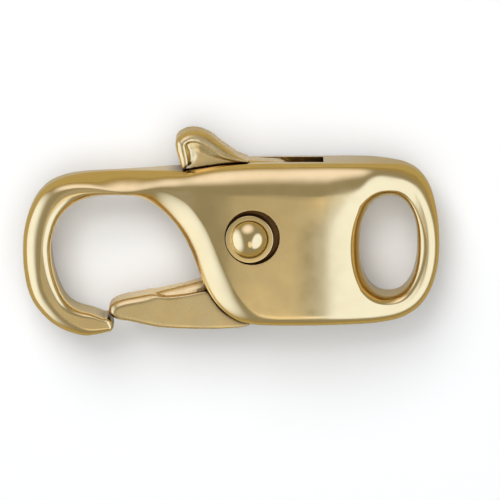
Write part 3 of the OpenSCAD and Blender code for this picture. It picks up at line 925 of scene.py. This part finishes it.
def soft_plate(name, outline, half, middle=None, hollow=0.0):
    """A plate whose edges are rounded by the reach, depth and power in its outline. With a middle, its faces
    run from each edge, inside its bead if it has one, to the hollow there."""
    rows = smoothed(outline, OUTLINE_STEPS, loop=True)
    # a level is a share of the way from the middle, how far across a bead it lies, or a step of the rounding
    levels = [("edge", EDGE_STEPS - i) for i in range(EDGE_STEPS + 1)]
    if middle:
        bead = [("bead", 1 - i / BEAD_STEPS) for i in range(BEAD_STEPS)]
        levels = [("face", t) for t in FACE_SHARES] + bead + levels
    rings = []
    for side in (1, -1):
        part = []
        for kind, t in levels:
            ring = []
            for i, (x, y, reach, deep, power, *more) in enumerate(rows):
                low, drop = more or (0.0, 0.0)
                width = BEAD_WIDTH * drop
                before, after = rows[i - 1], rows[(i + 1) % len(rows)]
                inward = Vector((after[1] - before[1], before[0] - after[0])).normalized()
                u, d = rounding(EDGE_STEPS, power)[t if kind == "edge" else EDGE_STEPS]
                p, z = Vector((x, y)) + inward * reach * u, half - low - deep * d
                if kind == "bead":
                    p += inward * width * t
                    z -= drop * (1 - math.cos(math.pi * t)) / 2
                elif kind == "face":
                    p = Vector(middle).lerp(p + inward * width, t)
                    z = half - low - drop - (hollow - low - drop) * (1 - t * t) ** 2
                ring.append(Vector((p.x, p.y, side * z)))
            part.append(ring)
        rings += part if side > 0 else part[::-1]
    return drawn_out(name, rings)


def shade(piece, sharp):
    """Shades the piece smoothly, and sharply where two faces meet at more than an angle in degrees."""
    pick(piece)
    bpy.ops.object.shade_smooth_by_angle(angle=math.radians(sharp))


def set_down(piece, node, body, material):
    """Lays the finished piece, in metres, where its CAD node lies, to stand for it and ride on its body."""
    pick(piece)
    piece.scale = (MM, MM, MM)
    piece.location = MIDDLE
    bpy.ops.object.transform_apply(location=True, rotation=True, scale=True)
    piece.data.materials.clear()
    piece.data.materials.append(material)
    if "turn" in piece.data.attributes:
        piece.data.attributes.remove(piece.data.attributes["turn"])
    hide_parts(node)
    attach(piece, body)


def add_node(tree, kind, inputs=None, stops=(), **settings):
    """A node with its settings, the positions and colours of its ramp if it has one, and its sockets set to
    values or linked from other nodes' sockets."""
    node = tree.nodes.new(kind)
    for key, value in settings.items():
        setattr(node, key, value)
    for i, (position, colour) in enumerate(stops):
        if i == len(node.color_ramp.elements):
            node.color_ramp.elements.new(1.0)
        node.color_ramp.elements[i].position = position
        node.color_ramp.elements[i].color = (*colour, 1)
    for key, value in (inputs or {}).items():
        if isinstance(value, bpy.types.NodeSocket):
            tree.links.new(value, node.inputs[key])
        else:
            node.inputs[key].default_value = value
    return node


def gold(name, polish, tone_size, wave_height, scratch):
    """Yellow gold, cast or turned and then tumbled and buffed: mirror-like, with soft waves, a faint uneven
    tone and a haze of fine wear that a jeweller's loupe would show, and painted shade, dark brown where
    nearby surfaces enclose it. The last three values are in mm."""
    finish = bpy.context.scene.clasp_finish
    material = bpy.data.materials.new(name)
    material.use_nodes = True
    tree = material.node_tree
    tree.nodes.clear()
    place = add_node(tree, "ShaderNodeTexCoord").outputs["Object"]
    tone = add_node(
        tree,
        "ShaderNodeTexNoise",
        {"Vector": place, "Scale": 1 / (tone_size * MM), "Detail": 3.0, "Roughness": 0.6},
    )
    toned = add_node(
        tree,
        "ShaderNodeMix",
        {"Factor": tone.outputs["Fac"], "A": (*finish.gold, 1), "B": (*finish.deep_gold, 1)},
        data_type="RGBA",
    )
    # painted shade: where nearby surfaces enclose the gold, in gaps, creases and recesses, its colour turns
    # to a dark brown
    open_share = add_node(tree, "ShaderNodeAmbientOcclusion", {"Distance": GAP_SHADE_REACH * MM}, samples=8)
    unshaded_share = add_node(
        tree,
        "ShaderNodeMapRange",
        {"Value": open_share.outputs["AO"], "From Min": 0.46, "From Max": 0.82},
    )
    gap_shaded = add_node(
        tree,
        "ShaderNodeMix",
        {"Factor": unshaded_share.outputs["Result"], "A": (*finish.gap_shade, 1), "B": toned.outputs["Result"]},
        data_type="RGBA",
    )
    haze = add_node(
        tree,
        "ShaderNodeTexNoise",
        {"Vector": place, "Scale": 1 / (HAZE * MM), "Detail": 4.0, "Roughness": 0.65},
    )
    rough = add_node(
        tree,
        "ShaderNodeMapRange",
        {
            "Value": haze.outputs["Fac"],
            "From Min": 0.3,
            "From Max": 0.7,
            "To Min": polish * 0.75,
            "To Max": polish * 1.3,
        },
    )
    wave = add_node(
        tree,
        "ShaderNodeTexNoise",
        {"Vector": place, "Scale": 1 / (WAVE * MM), "Detail": 1.0, "Roughness": 0.4},
    )
    soft = add_node(
        tree,
        "ShaderNodeBump",
        {"Height": wave.outputs["Fac"], "Distance": wave_height * MM, "Strength": 1.0},
    )
    lengthwise = add_node(
        tree,
        "ShaderNodeMapping",
        {"Vector": place, "Scale": (1.0, 0.12, 1.0), "Rotation": (0, 0, 0.9)},
    )
    marks = add_node(
        tree,
        "ShaderNodeTexNoise",
        {"Vector": lengthwise.outputs["Vector"], "Scale": 1 / (MARK * MM), "Detail": 2.0},
    )
    fine = add_node(
        tree,
        "ShaderNodeBump",
        {
            "Height": marks.outputs["Fac"],
            "Distance": scratch * MM,
            "Strength": 1.0,
            "Normal": soft.outputs["Normal"],
        },
    )
    shader = add_node(
        tree,
        "ShaderNodeBsdfPrincipled",
        {
            "Base Color": gap_shaded.outputs["Result"],
            "Metallic": 1.0,
            "Roughness": rough.outputs["Result"],
            "Normal": fine.outputs["Normal"],
        },
    )
    add_node(tree, "ShaderNodeOutputMaterial", {"Surface": shader.outputs["BSDF"]})
    return material


class CLASP_OT_hook_body(bpy.types.Operator):
    """Models the hook, the two cheeks and the oval eye as one casting"""

    bl_idname = "clasp.hook_body"
    bl_label = "Hook body"

    def execute(self, context):
        sizes = context.scene.clasp_sizes
        lines = [tip_line(math.radians(a)) for a in TIP_ANGLES]
        lines += [body_line(row) for row in smoothed(LINES, LINE_STEPS)]
        strip = drawn_out("hook_strip", lines, capped=False)
        # the tip is closed by a face; the other end stays open for the eye's ring
        bpy.ops.object.mode_set(mode="EDIT")
        cap(strip, 0, len(lines[0]))
        bpy.ops.object.mode_set(mode="OBJECT")
        rim = drawn_out("eye_rim", rim_lines(sizes), capped=False)
        seam = drawn_out("eye_seam", seam_lines(sizes), closed=False, capped=False)
        body = joined("hook_body_gold", [strip, rim, seam], weld=SEAM)
        loose = [count for count in faces_at_edges(body) if count != 2]
        if loose:
            raise RuntimeError(f"the hook body has {len(loose)} open edges before its cuts")

        slot = prism("slot_cutter", SLOT, sizes.slot_width / MM / 2)
        bore = drill("bore_cutter", BORE_RADIUS, 2 * FACE)
        recess = sink("recess_cutter", RECESS_PLACE, sizes.recess_radius / MM, RECESS_LIP, 1)
        under = sink("end_cutter", HUB, END_RECESS_RADIUS, END_RECESS_LIP, -1)
        cut(body, [slot, bore, recess, under])
        shade(body, sharp=32)
        apply_modifier(body, "WEIGHTED_NORMAL", keep_sharp=True)
        # cast yellow gold, tumbled and buffed
        polish = context.scene.clasp_finish.polish
        material = gold("cast_gold_body", polish, tone_size=1.6, wave_height=0.006, scratch=0.0004)
        set_down(body, "hook_body", "clasp_body", material)
        return {"FINISHED"}


class CLASP_OT_trigger_lever(bpy.types.Operator):
    """Models the gate, the web in the slot and the thumb piece as one casting"""

    bl_idname = "clasp.trigger_lever"
    bl_label = "Trigger lever"

    def execute(self, context):
        sizes = context.scene.clasp_sizes
        gate, web = sizes.gate_width / MM / 2, sizes.web_width / MM / 2
        thumb, hollow = sizes.thumb_width / MM / 2, sizes.thumb_hollow / MM
        parts = [
            soft_plate("gate_plate", GATE, gate),
            soft_plate("gate_rib", RIB, gate, RIB_FOOT, RIB_FOOT_DEPTH),
            soft_plate("web_plate", WEB, web),
            soft_plate("thumb_plate", THUMB, thumb, HOLLOW_MIDDLE, hollow),
        ]
        lever = joined("trigger_lever_gold", parts)
        apply_modifier(lever, "REMESH", mode="VOXEL", voxel_size=CASTING_GRAIN, adaptivity=0.0)
        apply_modifier(lever, "SMOOTH", factor=0.5, iterations=5)
        cut(lever, [drill("lever_bore_cutter", LEVER_BORE_RADIUS, FACE)])
        shade(lever, sharp=50)
        # the same casting gold, left flatter and hazier by tumbling than the body
        polish = context.scene.clasp_finish.polish * 1.5
        material = gold("cast_gold_lever", polish, tone_size=0.8, wave_height=0.008, scratch=0.0002)
        set_down(lever, "trigger_lever", "lever", material)
        return {"FINISHED"}


class CLASP_OT_pivot_rivet(bpy.types.Operator):
    """Models the rivet: a closed end below, the shaft, a flange in its recess and a polished dome"""

    bl_idname = "clasp.pivot_rivet"
    bl_label = "Pivot rivet"

    def execute(self, context):
        sizes = context.scene.clasp_sizes
        top, shaft, end = FACE - FLANGE_SUNK, FACE - SHAFT_SUNK, -(FACE - END_SUNK)
        r, h, flange = sizes.dome_radius / MM, sizes.dome_height / MM, sizes.flange_radius / MM
        ball = (r * r + h * h) / (2 * h)
        reach = math.asin(r / ball)
        dome = []
        for i in range(1, DOME_STEPS):
            a = reach * i / DOME_STEPS
            dome.append((ball * math.sin(a), top + h - ball + ball * math.cos(a)))
        profile = [(0, top + h), *dome, (r, top)]
        for a in quarter(LIP_STEPS):
            soft, drop = RIVET_EDGE * (1 - math.sin(a)), RIVET_EDGE * (1 - math.cos(a))
            profile.append((flange - soft, top - drop))
        profile += [(flange, shaft), (SHAFT_RADIUS, shaft), (SHAFT_RADIUS, -shaft), (END_RADIUS, -shaft)]
        for a in quarter(LIP_STEPS):
            soft, rise = RIVET_EDGE * (1 - math.cos(a)), RIVET_EDGE * (1 - math.sin(a))
            profile.append((END_RADIUS - soft, end + rise))
        rivet = moved(turned("pivot_rivet_gold", [*profile, (0, end)]), HUB)
        shade(rivet, sharp=40)
        apply_modifier(rivet, "WEIGHTED_NORMAL", keep_sharp=True)
        # drawn gold wire, headed by a punch and buffed bright
        polish = context.scene.clasp_finish.polish * 0.6
        material = gold("drawn_gold_rivet", polish, tone_size=0.5, wave_height=0.002, scratch=0.0002)
        set_down(rivet, "pivot_rivet", "clasp_body", material)
        return {"FINISHED"}


def softbox(name, place, size, radiance, colour):
    """A soft area light that faces the clasp. As its radiance is given, its size changes only its spread."""
    deselect()
    way = LIGHTS_AIM - Vector(place)
    bpy.ops.object.light_add(type="AREA", location=place, rotation=way.to_track_quat("-Z", "Y").to_euler())
    lamp = bpy.context.object
    lamp.name = lamp.data.name = name
    lamp.data.shape = "RECTANGLE"
    lamp.data.size, lamp.data.size_y = size
    lamp.data.energy = radiance * math.pi * size[0] * size[1]
    lamp.data.color = colour
    lamp.visible_camera = False
    return lamp


def dimmed(lamp, fade):
    """The light as an oval that dims at its edge, over a share of its width at each side."""
    lamp.data.use_nodes = True
    tree = lamp.data.node_tree
    tree.nodes.clear()
    spot = add_node(tree, "ShaderNodeNewGeometry").outputs["Parametric"]
    off = add_node(tree, "ShaderNodeVectorMath", {0: spot, 1: (0.5, 0.5, 0.0)}, operation="SUBTRACT")
    far = add_node(tree, "ShaderNodeVectorMath", {0: off.outputs["Vector"]}, operation="LENGTH")
    share = add_node(
        tree,
        "ShaderNodeMapRange",
        {"Value": far.outputs["Value"], "From Min": 0.5, "From Max": 0.5 - fade},
        interpolation_type="SMOOTHSTEP",
    )
    glow = add_node(tree, "ShaderNodeEmission", {"Strength": share.outputs["Result"]})
    add_node(tree, "ShaderNodeOutputLight", {"Surface": glow.outputs["Emission"]})
    return lamp


def floor_plane(name, height):
    """A flat matt floor, and the shader that takes its colour."""
    deselect()
    bpy.ops.mesh.primitive_plane_add(size=FLOOR_SIZE, location=(0, 0, height))
    plane = bpy.context.object
    plane.name = plane.data.name = name
    material = bpy.data.materials.new(name + "_paper")
    material.use_nodes = True
    tree = material.node_tree
    tree.nodes.clear()
    shader = add_node(tree, "ShaderNodeBsdfDiffuse", {"Roughness": 0.0})
    add_node(tree, "ShaderNodeOutputMaterial", {"Surface": shader.outputs["BSDF"]})
    plane.data.materials.append(material)
    return plane, shader


class CLASP_OT_stage(bpy.types.Operator):
    """Lays the pale floor, hangs the soft lights and sets the camera"""

    bl_idname = "clasp.stage"
    bl_label = "Stage"

    def execute(self, context):
        scene = context.scene
        stage = scene.clasp_stage
        floor, shader = floor_plane("floor", 0.0)
        shader.inputs["Color"].default_value = (*stage.floor, 1)
        floor.visible_glossy = False
        # painted reflection: a sheet that only the gold mirrors, pale round the clasp and turning dim and
        # warm away from it, stands in for the floor in the gold's reflections
        seen, shader = floor_plane("floor_in_reflections", REFLECTION_SHEET_HEIGHT)
        seen.visible_camera = seen.visible_diffuse = seen.visible_shadow = False
        tree = shader.id_data
        place = add_node(tree, "ShaderNodeTexCoord").outputs["Object"]
        halves = (1 / REFLECTION_SHEET_HALVES[0], 1 / REFLECTION_SHEET_HALVES[1], 0.0)
        oval = add_node(tree, "ShaderNodeMapping", {"Vector": place, "Scale": halves})
        far = add_node(tree, "ShaderNodeVectorMath", {0: oval.outputs["Vector"]}, operation="LENGTH")
        painted_reflection = add_node(tree, "ShaderNodeValToRGB", {"Fac": far.outputs["Value"]}, stops=PAINTED_REFLECTION_COLOURS)
        tree.links.new(painted_reflection.outputs["Color"], shader.inputs["Color"])

        scene.world = bpy.data.worlds.new("studio_room")
        scene.world.use_nodes = True
        tree = scene.world.node_tree
        way = add_node(tree, "ShaderNodeTexCoord").outputs["Generated"]
        height = add_node(tree, "ShaderNodeSeparateXYZ", {0: way}).outputs["Z"]
        room = add_node(tree, "ShaderNodeValToRGB", {"Fac": height}, stops=ROOM_COLOURS)
        tree.links.new(room.outputs["Color"], tree.nodes["Background"].inputs["Color"])

        for *light, fade, colour in MIRRORED_LIGHTS:
            dimmed(softbox(*light, colour), fade).visible_diffuse = False
        for light in MATT_LIGHTS:
            softbox(*light).visible_glossy = False

        tilt, distance = stage.tilt, stage.distance
        back = Vector((0, math.sin(tilt), math.cos(tilt)))
        up = Vector((0, math.cos(tilt), -math.sin(tilt)))
        target = Vector((VIEW_RIGHT, MIDDLE.y, MIDDLE.z)) - up * VIEW_DOWN
        deselect()
        bpy.ops.object.camera_add(location=target + back * distance, rotation=(-tilt, 0, 0))
        camera = bpy.context.object
        camera.name = camera.data.name = "photo_camera"
        camera.data.sensor_width = SENSOR_WIDTH
        camera.data.lens = SENSOR_WIDTH * distance / stage.view_width
        camera.data.clip_start = 0.01
        scene.camera = camera
        scene.view_settings.view_transform = "Standard"
        scene.view_settings.look = "None"
        return {"FINISHED"}


class CLASP_PT_panel(bpy.types.Panel):
    """Lists the clasp's sizes, its finish, its stage and the steps that make it"""

    bl_idname = "CLASP_PT_panel"
    bl_label = "Lobster clasp"
    bl_space_type = "VIEW_3D"
    bl_region_type = "UI"
    bl_category = "Clasp"

    def draw(self, context):
        layout = self.layout
        for group in (context.scene.clasp_sizes, context.scene.clasp_finish, context.scene.clasp_stage):
            box = layout.box()
            for key in group.__annotations__:
                box.prop(group, key)
        for step in STEPS:
            layout.operator(step.bl_idname)


STEPS = (CLASP_OT_hook_body, CLASP_OT_trigger_lever, CLASP_OT_pivot_rivet, CLASP_OT_stage)
CLASSES = (ClaspSizes, ClaspFinish, ClaspStage, *STEPS, CLASP_PT_panel)


def register():
    for cls in CLASSES:
        bpy.utils.register_class(cls)
    bpy.types.Scene.clasp_sizes = bpy.props.PointerProperty(type=ClaspSizes)
    bpy.types.Scene.clasp_finish = bpy.props.PointerProperty(type=ClaspFinish)
    bpy.types.Scene.clasp_stage = bpy.props.PointerProperty(type=ClaspStage)


def unregister():
    del bpy.types.Scene.clasp_stage
    del bpy.types.Scene.clasp_finish
    del bpy.types.Scene.clasp_sizes
    for cls in reversed(CLASSES):
        bpy.utils.unregister_class(cls)


def main():
    """Makes the clasp piece by piece, then its stage."""
    register()
    bpy.ops.clasp.hook_body()
    bpy.ops.clasp.trigger_lever()
    bpy.ops.clasp.pivot_rivet()
    bpy.ops.clasp.stage()


if __name__ == "__main__":
    main()
